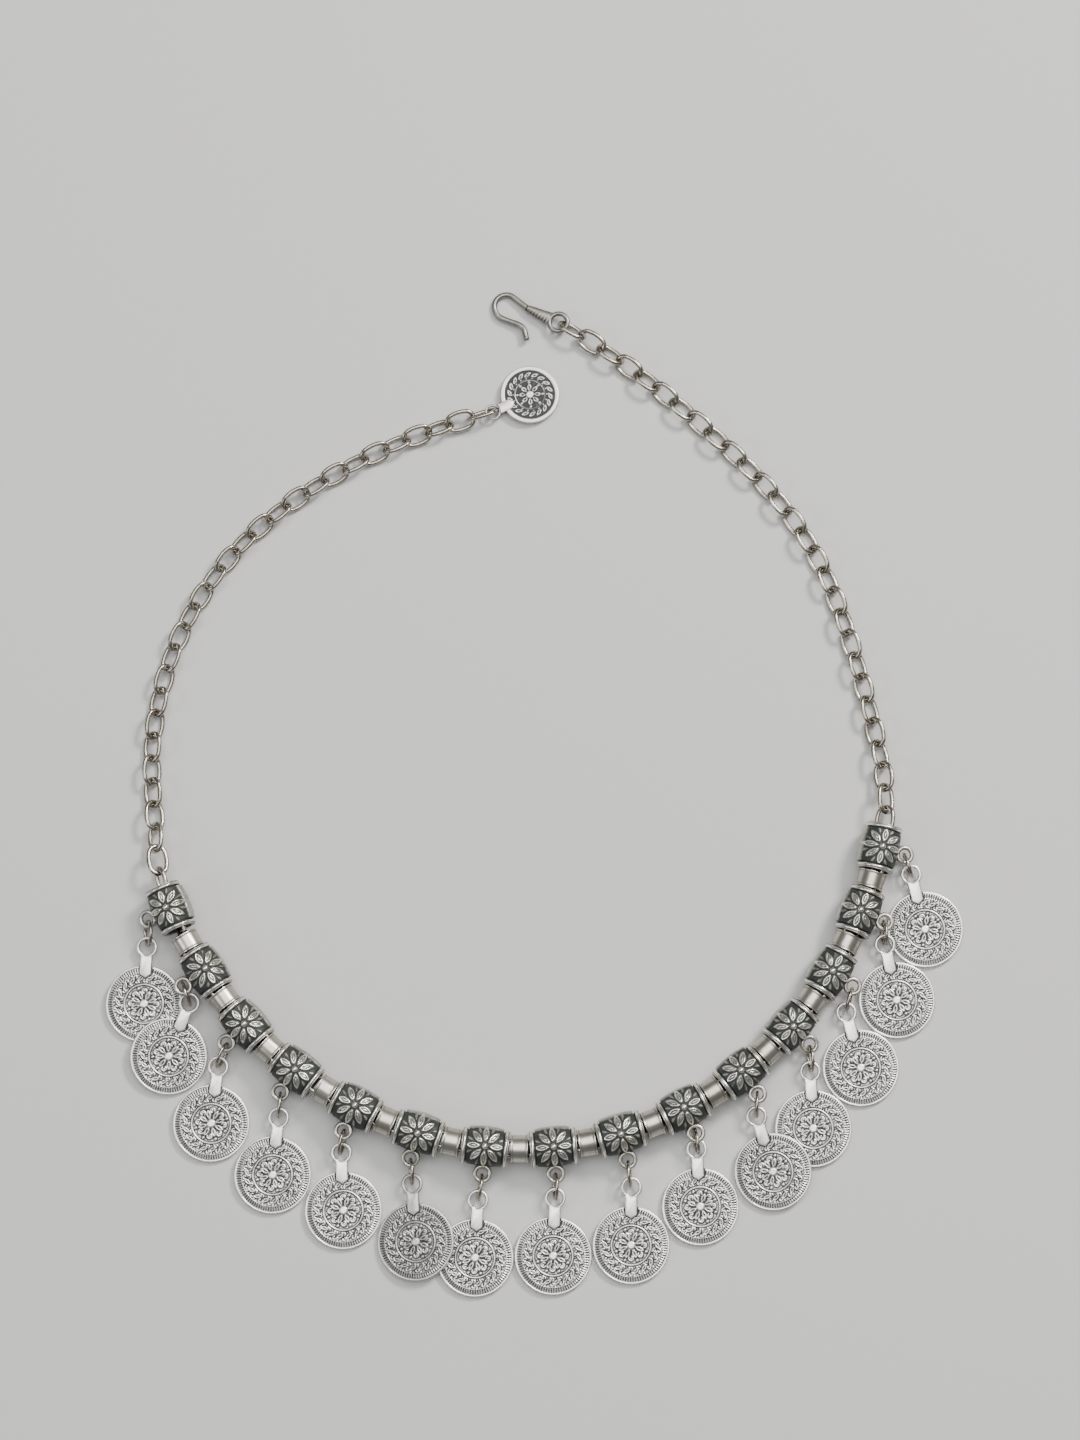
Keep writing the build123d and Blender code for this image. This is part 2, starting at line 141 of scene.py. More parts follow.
# Relief: the width of its sloping edge, the dark line round it, and the wear of its tops and field.
RELIEF_EDGE = 0.16
TOP_FADE = 0.05
LINE_FADE = 0.12
DARK_LINE = 0.11
FIELD_WEAR = 0.56
END_DARK_LINE = 0.1
END_FIELD_WEAR = 0.08
# Painted shadow on a coin's face beside its strap: where it starts and ends.
STRAP_SHADOW = (0.10, 0.36)
LEAST_WEAR = 0.92
WEAR_SPREAD = 0.10
WEAR_SPECKLE = {"size": 1.3, "seed": 3}

# One tooth of the coin's border and its groove, as heights from point to point.
TOOTH = (0.0, 1.0, 0.65, 0.0)

# A coin's edge is a little out of round, in lobes with a phase in radians, and its underside a little rough.
OUT_OF_ROUND = 0.0025
LOBE_COUNT = 3
LOBE_PHASE = 1.1
LOBE_POWER = 4
UNDER_ROUGHNESS = 0.02
UNDER_SPECKLE = {"size": 1.6, "seed": 9}
UNDER_EDGE = 0.2
UNDER_WEAR = 0.35

# End coin.
END_RADIUS = 5.95
END_RIM_WIDTH = 0.85
END_RIM_SLOPE = (-0.08, 0.06)
END_RIM_DISH = 0.12
END_BAND = 4.15
END_BAND_WIDTH = 1.62
END_INNER_RING = 3.02
END_INNER_RING_WIDTH = 0.16
END_ROSETTE_EDGE = 2.80
END_STAR_REACH = 2.66
END_STAR_LENGTH = 1.30

# Strap and ring on a coin. The ring's hole runs to a soft point, and its counts are of points round the ring
# and round its wire.
STRAP_HALF_WIDTH = 1.20
STRAP_TIP = 5.00
STRAP_SHOULDER = 5.90
STRAP_TOP = 0.60
STRAP_THICKNESS = 0.72
STRAP_END_POINTS = 9
MITRE_LIMIT = 0.4
RING_FROM_CENTRE = 11.15
RING_HOLE = 1.42
RING_WIRE = 0.70
RING_POINT = 0.22
RING_POINT_POWER = 14
RING_WEAR = 0.78
RING_COUNTS = (48, 14)
END_STRAP_HALF_WIDTH = 1.10
END_STRAP_TIP = 3.45
END_RING_FROM_CENTRE = 8.40
END_RING_HOLE = 1.15
END_RING_WIRE = 0.52
END_RING_POINT = 0.10

# Edge of a strap, from its underside up: inset, height from its top, wear.
STRAP_EDGE = [
    (0.10, -STRAP_THICKNESS, 0.5),
    (0.00, -STRAP_THICKNESS + 0.10, 0.5),
    (0.00, -0.26, 0.45),
    (0.03, -0.13, 0.7),
    (0.12, -0.04, 0.90),
    (0.26, 0.0, 0.82),
]

# Points round a coin in its finest rows, a tooth's points for each tick, and in its coarser ones.
FINE = TICK_COUNT * len(TOOTH)
MIDDLING = FINE // 2
COARSE = FINE // 4
END_FINE = 240
END_COARSE = END_FINE // 2

# Front of a coin, from its edge inward: radius, points.
COIN_FRONT = [
    *((radius, MIDDLING) for radius in (COIN_RADIUS, 7.45, 7.30)),
    *((radius, FINE) for radius in (7.14, 7.08, 7.02, 6.60, 6.17, 6.10, 6.05)),
    *((radius, FINE) for radius in np.linspace(5.98, 4.08, 19)),
    *((radius, MIDDLING) for radius in np.linspace(3.99, 1.20, 25)),
    *((radius, COARSE) for radius in np.linspace(1.08, 0.30, 6)),
]
END_FRONT = [
    *((radius, END_FINE) for radius in (END_RADIUS, 5.91, 5.78, 5.52, 5.30, 5.16, 5.10, 5.03)),
    *((radius, END_FINE) for radius in np.linspace(4.94, 3.14, 15)),
    *((radius, END_COARSE) for radius in np.linspace(3.06, 0.30, 24)),
]

# Underside of a coin, from its edge inward: radius, height, wear, points.
COIN_UNDER = [
    (COIN_RADIUS, -0.44, 0.8, MIDDLING),
    (7.44, -0.51, 0.9, MIDDLING),
    (7.15, -0.51, 0.8, MIDDLING),
    (7.05, -0.36, 0.3, MIDDLING),
    (6.10, -0.36, 0.35, COARSE),
    (4.08, -0.36, 0.3, COARSE),
    (3.96, -0.50, 0.7, COARSE),
    (3.70, -0.50, 0.7, COARSE),
    (3.58, -0.36, 0.3, COARSE),
    (1.50, -0.36, 0.35, COARSE // 2),
]
END_UNDER = [
    (END_RADIUS, -0.44, 0.8, END_COARSE),
    (5.88, -0.51, 0.9, END_COARSE),
    (5.15, -0.51, 0.8, END_COARSE),
    (5.02, -0.36, 0.3, END_COARSE),
    (3.30, -0.36, 0.35, END_COARSE // 2),
    (3.20, -0.50, 0.7, END_COARSE // 2),
    (2.90, -0.50, 0.7, END_COARSE // 2),
    (2.80, -0.36, 0.3, END_COARSE // 2),
]

# Flower bead: its barrel, the groove beside it and the loop that droops from it.
FIELD_HALF_LENGTH = 3.375
FIELD_MIDDLE = 3.75
FIELD_SHOULDER = 3.45
FIELD_ROWS = 56
BEAD_RELIEF = 0.35
GROOVE_RADIUS = 3.15
GROOVE_STEP = 0.02
LOOP_DROOP = 8.0
LOOP_CENTRE = 5.22
LOOP_HOLE = 1.02
LOOP_WIRE = 0.90
LOOP_WEAR = 0.62
LOOP_COUNTS = (36, 12)

# Only a bead's loop is further than this from its axis.
LOOP_FROM = 4.6

# Points this near to a bead's or spacer's furthest one lie on its end.
END_SLACK = 0.02

# Flower on a bead: petals with a border and a slit, darts between them and a dot in the middle. Pairs are
# measured from a shape's outline inward.
PETAL_COUNT = 8
PETAL_START = 0.85
PETAL_LENGTH = 2.85
PETAL_WIDTH = 1.25
PETAL_SLOPE = (-0.07, 0.09)
PETAL_SHOULDER = (0.05, 0.2)
PETAL_SHOULDER_RISE = 0.14
PETAL_SHINE = (0.04, 0.16)
PETAL_SHINE_RISE = 0.38
SLIT_WALL = (0.29, 0.36)
SLIT_FLOOR = (0.44, 0.52)
SLIT_FILL = 0.85
SLIT_DEPTH = 0.42
SLIT_DARKNESS = 0.92
DART_MIDDLE = 3.35
DART_LENGTH = 1.70
DART_WIDTH = 0.62
DART_SLOPE = (-0.02, 0.16)
DART_GAP = 0.02
DART_HEIGHT = 0.34
DART_WEAR = 0.30
DOT_RADIUS = 0.65
DOT_TOP = 4.30
DOT_SLOPE = (0.0, 0.14)
DOT_SIDE = 0.9

# Smooth panel on a bead's neck side.
PANEL_HALF_ANGLE = 27.0
PANEL_SLOPE = (0.0, 0.14)
PANEL_FADE = (0.02, 0.14)
PANEL_WEAR = 0.52

# Points round a bead: from one angle to another, and their number. -Y is its top.
BEAD_SECTORS = [(-140, -40, 80), (-40, 40, 22), (40, 140, 52), (140, 220, 22)]

# End of a bead, from its bore outward: radius, place along it, wear.
BEAD_END = [
    (2.58, -4.50, 0.15),
    (2.64, -4.565, 0.4),
    (3.28, -4.575, 0.45),
    (3.40, -4.545, 0.6),
    (3.45, -4.46, 0.7),
    (3.42, -4.40, 0.25),
    (3.40, -4.36, 0.1),
    (3.50, -4.28, 0.75),
    (3.59, -4.14, 1.0),
    (3.60, -4.00, 1.0),
    (3.54, -3.84, 0.9),
    (3.40, -3.72, 0.4),
    (3.20, -3.66, 0.0),
    (GROOVE_RADIUS, -3.55, 0.0),
]

# Half of a spacer tube, from its bore outward: radius, distance inward from its end, wear.
SPACER_HALF_LENGTH = 1.70
SPACER_SIDES = 72
SPACER_END = [
    (2.40, 0.03, 0.2),
    (2.46, 0.0, 0.5),
    (2.67, 0.0, 0.6),
    (2.73, 0.05, 0.85),
    (2.74, 0.16, 0.9),
    (2.72, 0.28, 0.7),
    (2.65, 0.36, 0.25),
    (2.645, 0.48, 0.5),
    (2.65, 0.75, 0.8),
]

# Hook: from its eye's centre to its box on the right and towards -Y, the eye's height, the way along its
# body and the way across it towards -Y.
HOOK_EYE_REACH = 2.36
HOOK_TIP_REACH = 3.80
HOOK_EYE_HEIGHT = 1.8
HOOK_WAY = (-0.894, 0.447, 0.0)
HOOK_SIDE = (-0.447, -0.894, 0.0)

# File marks round the middle of the body, stronger on its side towards -Y, and a dark seam where the wire
# goes in. Both are that far from the eye's centre.
HOOK_BODY_MIDDLE = 4.30
HOOK_BODY_REACH = 2.60
HOOK_BODY_FADE = 0.5
FILE_MARK_PITCH = 0.66
FILE_MARK_SLANT = 0.25
FILE_MARK_DEPTH = 0.06
FILE_MARK_WAVE = (0.1, 0.9)
FILE_MARK_BUMP = 0.6
FILE_MARK_STRENGTH = 0.9
NEAR_SIDE = (-0.1, 0.7)
FAR_SIDE_STRENGTH = 0.12
HOOK_SEAM = 7.12
SEAM_FADE = (0.12, 0.24)
SEAM_REACH = (1.1, 1.3)
SEAM_STRENGTH = 0.85

# Colours, wear and bump of the silver.
WHITE_SILVER = (0.86, 0.845, 0.815)
COIN_DARK = (0.020, 0.018, 0.016)
HOOK_DARK = (0.05, 0.045, 0.038, 1)
WIRE_STAIN = (0.66, 0.58, 0.47)
WIRE_WEAR = 0.6
PIT_DEPTH = 0.03

# Noise in the silver, and what its range is moved to: uneven wear, stained patches, and metal that shows
# through the dark. The scratches are turned by radians.
GRAIN = {"scale": 900.0, "detail": 5.0, "roughness": 0.6}
PATCHES = {"scale": 160.0, "detail": 3.0, "roughness": 0.5}
PITS = {"scale": 5200.0, "detail": 2.0, "roughness": 0.5}
SCRATCHES = {"scale": 700.0, "detail": 2.0, "roughness": 0.5}
SCRATCH_STRETCH = (1.0, 14.0, 1.0)
SCRATCH_TURN = (0.3, 0.2, 0.9)
UNEVEN_WEAR = ((0.3, 0.7), (-0.16, 0.16))
STAINED_PATCHES = ((0.45, 0.75), (0.0, 0.6))
METAL_SHARE = ((0.0, 0.6), (0.3, 1.0))

# Sockets of a Mix node that take and give colours.
MIX_FIRST = 6
MIX_SECOND = 7
MIX_RESULT = 2


class Shape:
    """Points with their wear, and faces, which become one mesh."""

    def __init__(self):
        self.points = []
        self.wear = []
        self.faces = []

    def add(self, points, wear):
        """Add points and return their numbers."""
        start = len(self.points)
        self.points.extend(map(tuple, points))
        self.wear.extend(np.broadcast_to(wear, len(points)))
        return list(range(start, start + len(points)))

    def bridge(self, first, second):
        """Faces between two closed rings, of which one may have twice the points of the other."""
        many, few = len(first), len(second)
        if many < few:
            for small in range(many):
                a, b = first[small], first[(small + 1) % many]
                c, d, e = second[2 * small], second[2 * small + 1], second[(2 * small + 2) % few]
                self.faces.extend([(a, d, c), (a, b, d), (b, e, d)])
        elif many > few:
            for small in range(few):
                a, b = second[small], second[(small + 1) % few]
                c, d, e = first[2 * small], first[2 * small + 1], first[(2 * small + 2) % many]
                self.faces.extend([(c, d, a), (d, b, a), (d, e, b)])
        else:
            for index in range(many):
                after = (index + 1) % many
                self.faces.append((first[index], first[after], second[after], second[index]))

    def stack(self, rows):
        """Closed rings of points, joined one after the other. Each row is points and their wear."""
        rings = [self.add(points, wear) for points, wear in rows]
        for first, second in zip(rings, rings[1:]):
            self.bridge(first, second)
        return rings

    def loop(self, rows):
        """Closed rings, joined in a circle, such as a torus."""
        rings = self.stack(rows)
        self.bridge(rings[-1], rings[0])

    def cap(self, ring, point, wear):
        """Fan of triangles from a ring to a middle point."""
        middle = self.add([point], wear)[0]
        for index in range(len(ring)):
            self.faces.append((ring[index], ring[(index + 1) % len(ring)], middle))

    def mesh(self, name, sharp_angle):
        """The shape as a mesh, smooth but for edges that turn by more than an angle."""
        mesh = bpy.data.meshes.new(name)
        mesh.from_pydata([tuple(c * MM for c in p) for p in self.points], [], self.faces)
        wear = mesh.attributes.new("wear", "FLOAT", "POINT")
        wear.data.foreach_set("value", np.array(self.wear, dtype=np.float32))
        mesh.polygons.foreach_set("use_smooth", [True] * len(mesh.polygons))
        mesh.set_sharp_from_angle(angle=math.radians(sharp_angle))
        return mesh


# Signed distances to the small shapes that a relief is drawn with: negative inside, in millimetres.

def turned(x, y, degrees):
    """The same points in axes that are turned by an angle."""
    angle = math.radians(degrees)
    return x * math.cos(angle) + y * math.sin(angle), y * math.cos(angle) - x * math.sin(angle)


def leaf(x, y, length, width):
    """Pointed leaf along X, centred on the origin."""
    half, rise = length / 2, width / 2
    radius = (half**2 + rise**2) / (2 * rise)
    return np.hypot(x, np.abs(y) + radius - rise) - radius


def arc(x, y, radius, start, end, width):
    """Stroke along an arc about the origin, with the angles in degrees."""
    middle = math.radians((start + end) / 2)
    half = math.radians(end - start) / 2
    way = np.arctan2(y, x) - middle
    way = (way + math.pi) % math.tau - math.pi
    held = np.clip(way, -half, half) + middle
    return np.hypot(x - radius * np.cos(held), y - radius * np.sin(held)) - width / 2


def dot(x, y, radius):
    """Round dot."""
    return np.hypot(x, y) - radius


def band(radius, middle, width):
    """Ring about the origin, from the points' own radii."""
    return np.abs(radius - middle) - width / 2


def ramp(value, low, high):
    """0 below one value, 1 above another and straight between."""
    return np.clip((value - low) / (high - low), 0.0, 1.0)


def speckle(x, y, size, seed, waves=12, least=0.7, most=1.6):
    """Smooth random values about 0.5 on a plane, from waves of about this size."""
    random = np.random.default_rng(seed)
    total = np.zeros_like(x, dtype=float)
    for _ in range(waves):
        way = random.uniform(0, math.tau)
        wave = math.tau / (size * random.uniform(least, most))
        total += np.sin(wave * (x * math.cos(way) + y * math.sin(way)) + random.uniform(0, math.tau))
    return 0.5 + total / waves


def repeated(x, y, count, offset=0.0):
    """The same points moved into the first of a number of equal sectors, and each point's sector."""
    step = math.tau / count
    way = np.arctan2(y, x) - math.radians(offset)
    sector = np.round(way / step)
    way = way - sector * step
    radius = np.hypot(x, y)
    return radius * np.cos(way), radius * np.sin(way), sector.astype(int) % count


# Coins.

def rosette(x, y, star_length, reach, curls=True):
    """Middle of a coin: a boss and leaves with a rib, dots at their tips and curls between them."""
    leaf_x, leaf_y = repeated(x, y, STAR_COUNT, 180 / STAR_COUNT)[:2]
    middle = STAR_START + star_length / 2
    star = leaf(leaf_x - middle, leaf_y, star_length, STAR_WIDTH)
    rib = leaf(leaf_x - middle + STAR_RIB_BACK, leaf_y, star_length * STAR_RIB_SHARE, STAR_RIB_WIDTH)
    tip_dot = dot(leaf_x - reach + TIP_DOT_INSET, leaf_y, TIP_DOT_RADIUS)
    found = [dot(x, y, BOSS_RADIUS), np.maximum(star, RIB_MARGIN - rib), tip_dot]
    if curls:
        gap_x, gap_y, gap = repeated(x, y, STAR_COUNT)
        side = np.where(gap % 2, 1, -1)
        found.append(arc(gap_x - reach + STAR_CURL_INSET, side * gap_y, **STAR_CURL))
        found.append(dot(gap_x - reach + CURL_DOT_INSET, gap_y + CURL_DOT_SIDE * side, CURL_DOT_RADIUS))
    return np.minimum.reduce(found)


def leaf_band(x, y, middle, curls=True):
    """Ring of slanted leaves, with dots and hooked curls between them."""
    leaf_x, leaf_y = repeated(x, y, LEAF_COUNT)[:2]
    along, across = turned(leaf_x - middle, leaf_y, LEAF_TURN)
    blade = leaf(along, across, LEAF_LENGTH, LEAF_WIDTH)
    rib = leaf(along, across, LEAF_LENGTH * LEAF_RIB_SHARE, LEAF_RIB_WIDTH)
    inner_dot = dot(leaf_x - middle + LEAF_DOT_REACH, leaf_y - LEAF_DOT_SIDE, INNER_DOT_RADIUS)
    found = [np.maximum(blade, RIB_MARGIN - rib), inner_dot]
    if curls:
        gap_x, gap_y, gap = repeated(x, y, LEAF_COUNT, 180 / LEAF_COUNT)
        flip = np.where(gap % FLIP_PERIOD == FLIPPED_GAP, -1, 1)
        found.append(arc(gap_x - middle - OUTER_CURL_REACH, flip * gap_y, **OUTER_CURL))
        found.append(arc(gap_x - middle + INNER_CURL_REACH, -flip * gap_y, **INNER_CURL))
        found.append(dot(leaf_x - middle - LEAF_DOT_REACH, leaf_y + LEAF_DOT_SIDE, OUTER_DOT_RADIUS))
    return np.minimum.reduce(found)


def relief_levels(distance, field_wear, line):
    """Height share and wear of a relief: bright tops, a dark line round them and the field between."""
    half = RELIEF_EDGE / 2
    height = 1 - ramp(distance, -half, half)
    field = field_wear * ramp(distance, half + line, half + line + LINE_FADE)
    return height, np.where(distance < half, 1 - ramp(distance, -TOP_FADE, half), field)


def rim_share(radius, edge, width, slope):
    """1 on a coin's rim and 0 inside it."""
    return ramp(radius, edge - width + slope[0], edge - width + slope[1])


def strap_shadow(x, y):
    """Painted shadow beside a coin's strap: 0 on and close beside it and 1 away from it."""
    chamfer = (STRAP_SHOULDER - STRAP_TIP) / STRAP_HALF_WIDTH
    beside = np.maximum(np.abs(x) - STRAP_HALF_WIDTH, STRAP_TIP + chamfer * np.abs(x) - y)
    return ramp(beside, *STRAP_SHADOW)


def coin_front(x, y):
    """Height share and wear of a large coin's front, with painted shadow beside its strap."""
    radius = np.hypot(x, y)
    middle = np.maximum(rosette(x, y, STAR_LENGTH, STAR_REACH), radius - ROSETTE_EDGE)
    leaves = np.maximum(leaf_band(x, y, LEAF_BAND), band(radius, LEAF_BAND, LEAF_BAND_WIDTH))
    ring = band(radius, INNER_RING, INNER_RING_WIDTH)
    height, wear = relief_levels(np.minimum.reduce([ring, middle, leaves]), FIELD_WEAR, DARK_LINE)
    rim = rim_share(radius, COIN_RADIUS, RIM_WIDTH, RIM_SLOPE)
    height = np.maximum(height, rim)
    wear = np.maximum(wear, rim)
    ledge = (radius <= TICK_INNER - TICK_MARGIN_INNER) & (radius > LEDGE_INNER)
    height = np.where(ledge, LEDGE_LEVEL, height)
    wear = np.where(ledge, LEDGE_LEVEL, wear)
    teeth = np.resize(TOOTH, len(x))
    in_ticks = (radius > TICK_INNER - TICK_MARGIN_INNER) & (radius < TICK_OUTER + TICK_MARGIN_OUTER)
    height = np.where(in_ticks, TICK_HEIGHT * teeth, height)
    # Beside the strap the wear is lowered, which paints a shadow there.
    wear = np.where(in_ticks, teeth, wear) * strap_shadow(x, y)
    return height, wear * (LEAST_WEAR + WEAR_SPREAD * speckle(x, y, **WEAR_SPECKLE))


def end_coin_front(x, y):
    """Height share and wear of the end coin's front, whose field stays dark."""
    radius = np.hypot(x, y)
    star = rosette(x, y, END_STAR_LENGTH, END_STAR_REACH, curls=False)
    middle = np.maximum(star, radius - END_ROSETTE_EDGE)
    leaves = np.maximum(leaf_band(x, y, END_BAND, curls=False), band(radius, END_BAND, END_BAND_WIDTH))
    ring = band(radius, END_INNER_RING, END_INNER_RING_WIDTH)
    height, wear = relief_levels(np.minimum.reduce([ring, middle, leaves]), END_FIELD_WEAR, END_DARK_LINE)
    rim = rim_share(radius, END_RADIUS, END_RIM_WIDTH, END_RIM_SLOPE)
    from_rim_middle = np.abs(radius - END_RADIUS + END_RIM_WIDTH / 2)
    dish = END_RIM_DISH * ramp(from_rim_middle, 0.0, END_RIM_WIDTH / 2)
    return np.maximum(height, rim * (1 - dish)), np.maximum(wear, rim)


def circle(radius, count):
    """Points of a circle, counted anticlockwise."""
    angle = np.arange(count) * math.tau / count
    return radius * np.cos(angle), radius * np.sin(angle)


def add_disc(shape, size, front_rows, under_rows, front):
    """A coin's disc, from its underside's middle over the edge to its front's middle."""

    def level(radius, height, count):
        x, y = circle(radius, count)
        lobes = np.sin(LOBE_COUNT * np.arctan2(y, x) + LOBE_PHASE) - 1
        wobble = 1 + OUT_OF_ROUND * lobes * (radius / size) ** LOBE_POWER
        return x, y, np.column_stack([x * wobble, y * wobble, height + 0 * x])

    rows = []
    for radius, height, wear, count in reversed(under_rows):
        x, y, points = level(radius, height, count)
        grain = UNDER_ROUGHNESS * (speckle(x, y, **UNDER_SPECKLE) - 0.5)
        points[:, 2] += grain * (radius < size - UNDER_EDGE)
        rows.append((points, wear))
    for radius, count in front_rows:
        x, y, points = level(radius, COIN_HALF_HEIGHT - COIN_RELIEF, count)
        height, wear = front(x, y)
        points[:, 2] += COIN_RELIEF * height - EDGE_DROP * (radius == size)
        rows.append((points, wear))
    rings = shape.stack(rows)
    shape.cap(rings[-1], (0, 0, COIN_HALF_HEIGHT), 1.0)
    shape.cap(rings[0][::-1], (0, 0, -COIN_HALF_HEIGHT + COIN_RELIEF), UNDER_WEAR)


def strap_outline(half_width, tip, ring_centre, ring_middle):
    """Outline of a strap: a pointed tip, straight sides and an end that is hidden in the ring's wire."""
    shoulder = tip + STRAP_SHOULDER - STRAP_TIP
    points = [(0, tip), (half_width, shoulder)]
    reach = math.degrees(math.asin(half_width / ring_middle))
    for index in range(STRAP_END_POINTS):
        angle = math.radians(-90 + reach - index * 2 * reach / (STRAP_END_POINTS - 1))
        points.append((ring_middle * math.cos(angle), ring_centre + ring_middle * math.sin(angle)))
    points.append((-half_width, shoulder))
    return np.array(points)


def inset(outline, amount):
    """A closed outline, counted anticlockwise, moved inward by an amount."""
    before = outline - np.roll(outline, 1, axis=0)
    after = np.roll(outline, -1, axis=0) - outline
    moved = []
    for point, first, second in zip(outline, before, after):
        first = first / np.linalg.norm(first)
        second = second / np.linalg.norm(second)
        along = np.array([-first[1] - second[1], first[0] + second[0]])
        moved.append(point + along * amount / max(MITRE_LIMIT, along @ along / 2))
    return np.array(moved)


def add_strap(shape, outline):
    """Flat strap with rounded edges."""
    rows = []
    for amount, height, wear in STRAP_EDGE:
        level = inset(outline, amount)
        rows.append((np.column_stack([level, np.full(len(level), STRAP_TOP + height)]), wear))
    rings = shape.stack(rows)
    shape.faces.append(tuple(rings[-1]))
    shape.faces.append(tuple(reversed(rings[0])))


def add_torus(shape, spot, hole, wire, wear, counts, point=0.0):
    """Ring of round wire, whose hole may run to a soft point towards -Y. Spot gives the place of a point
    from its radius, way and rise. Hole is the hole's radius, and wire the wire's width."""
    count, sides = counts
    rows = []
    for index in range(count):
        way = math.tau * index / count
        narrowing = point * max(0.0, -math.sin(way)) ** RING_POINT_POWER
        middle = hole + (wire + narrowing) / 2
        half = (wire - narrowing) / 2
        ring = []
        for side in range(sides):
            turn = -math.tau * side / sides
            ring.append(spot(middle + half * math.cos(turn), way, math.sin(turn)))
        rows.append((ring, wear))
    shape.loop(rows)


def add_ring(shape, centre, hole, wire, point):
    """Cast ring at the end of a strap."""
    height = STRAP_TOP - STRAP_THICKNESS / 2

    def spot(radius, way, rise):
        return radius * math.cos(way), centre + radius * math.sin(way), height + wire / 2 * rise

    add_torus(shape, spot, hole, wire, RING_WEAR, RING_COUNTS, point)


def coin_shape():
    """Large coin in the XY plane, face up, with its strap and ring towards +Y."""
    shape = Shape()
    add_disc(shape, COIN_RADIUS, COIN_FRONT, COIN_UNDER, coin_front)
    middle = RING_HOLE + RING_WIRE / 2
    add_strap(shape, strap_outline(STRAP_HALF_WIDTH, STRAP_TIP, RING_FROM_CENTRE, middle))
    add_ring(shape, RING_FROM_CENTRE, RING_HOLE, RING_WIRE, RING_POINT)
    return shape


def end_coin_shape():
    """End coin, which lies as the large one does."""
    shape = Shape()
    add_disc(shape, END_RADIUS, END_FRONT, END_UNDER, end_coin_front)
    middle = END_RING_HOLE + END_RING_WIRE / 2
    add_strap(shape, strap_outline(END_STRAP_HALF_WIDTH, END_STRAP_TIP, END_RING_FROM_CENTRE, middle))
    add_ring(shape, END_RING_FROM_CENTRE, END_RING_HOLE, END_RING_WIRE, END_RING_POINT)
    return shape


# Beads and spacers.

def petals(x, z):
    """Distance to a bead's petals, and their height share and wear."""
    petal_x, petal_z = repeated(x, z, PETAL_COUNT)[:2]
    petal = leaf(petal_x - PETAL_START - PETAL_LENGTH / 2, petal_z, PETAL_LENGTH, PETAL_WIDTH)
    border = ramp(-petal, *PETAL_SLOPE)
    slit = ramp(-petal, *SLIT_WALL) * (1 - SLIT_FILL * ramp(-petal, *SLIT_FLOOR))
    shoulder = 1 - PETAL_SHOULDER_RISE * (1 - ramp(-petal, *PETAL_SHOULDER))
    shine = 1 - PETAL_SHINE_RISE * (1 - ramp(-petal, *PETAL_SHINE))
    return petal, border * (shoulder - SLIT_DEPTH * slit), border * shine * (1 - SLIT_DARKNESS * slit)


def darts(x, z):
    """Height share of the low darts between the petals."""
    gap_x, gap_z = repeated(x, z, PETAL_COUNT, 180 / PETAL_COUNT)[:2]
    return ramp(-leaf(gap_x - DART_MIDDLE, gap_z, DART_LENGTH, DART_WIDTH), *DART_SLOPE)


def bead_field(angle, z):
    """Radius and wear of the bead's barrel at one place along it."""
    rise = FIELD_MIDDLE - FIELD_SHOULDER
    arc_radius = (FIELD_HALF_LENGTH**2 + rise**2) / (2 * rise)
    base = FIELD_MIDDLE - arc_radius + math.sqrt(arc_radius**2 - z**2)
    x = base * np.cos(angle)
    level = np.full_like(x, z)
    petal, height, wear = petals(x, level)
    dart = darts(x, level) * (petal > DART_GAP)
    height = np.maximum(height, DART_HEIGHT * dart)
    wear = np.maximum(wear, DART_WEAR * dart)
    from_loop = np.abs((angle + math.pi) % math.tau - math.pi)
    panel = (from_loop - math.pi + math.radians(PANEL_HALF_ANGLE)) * base
    height = np.maximum(height, ramp(panel, *PANEL_SLOPE))
    wear = np.maximum(wear, PANEL_WEAR * ramp(panel, *PANEL_FADE))
    radius = base + BEAD_RELIEF * height
    ball = DOT_RADIUS**2 - np.hypot(x, z) ** 2
    ball_top = DOT_TOP - DOT_RADIUS + np.sqrt(np.maximum(ball, 0))
    on_dot = (np.abs(np.sin(angle)) > DOT_SIDE) & (ball > 0) & (ball_top > radius)
    return np.where(on_dot, ball_top, radius), np.where(on_dot, ramp(ball, *DOT_SLOPE), wear)


def bead_shape():
    """Bead about Z with its loop towards +X: one closed skin through the bore and over the barrel."""
    shape = Shape()
    sectors = [np.linspace(low, high, count, endpoint=False) for low, high, count in BEAD_SECTORS]
    fine = np.radians(np.concatenate(sectors))
    coarse = fine[::2]

    def ring(radius, angle, z):
        return np.column_stack([radius * np.cos(angle), radius * np.sin(angle), z + 0 * angle])

    groove = FIELD_HALF_LENGTH + GROOVE_STEP
    rows = [(ring(radius, coarse, z), wear) for radius, z, wear in BEAD_END]
    rows.append((ring(GROOVE_RADIUS, fine, -groove), 0.0))
    for z in np.linspace(-FIELD_HALF_LENGTH, FIELD_HALF_LENGTH, FIELD_ROWS):
        radius, wear = bead_field(fine, z)
        rows.append((ring(radius, fine, z), wear))
    rows.append((ring(GROOVE_RADIUS, fine, groove), 0.0))
    rows.extend((ring(radius, coarse, -z), wear) for radius, z, wear in reversed(BEAD_END))
    shape.loop(rows)
    add_loop(shape)
    return shape


def add_loop(shape):
    """Loop that the jump ring goes through, in the plane of the string."""
    droop = math.radians(LOOP_DROOP)

    def spot(radius, way, rise):
        out = LOOP_CENTRE + radius * math.cos(way)
        up = LOOP_WIRE / 2 * rise
        return (
            out * math.cos(droop) + up * math.sin(droop),
            out * math.sin(droop) - up * math.cos(droop),
            radius * math.sin(way),
        )

    add_torus(shape, spot, LOOP_HOLE, LOOP_WIRE, LOOP_WEAR, LOOP_COUNTS)


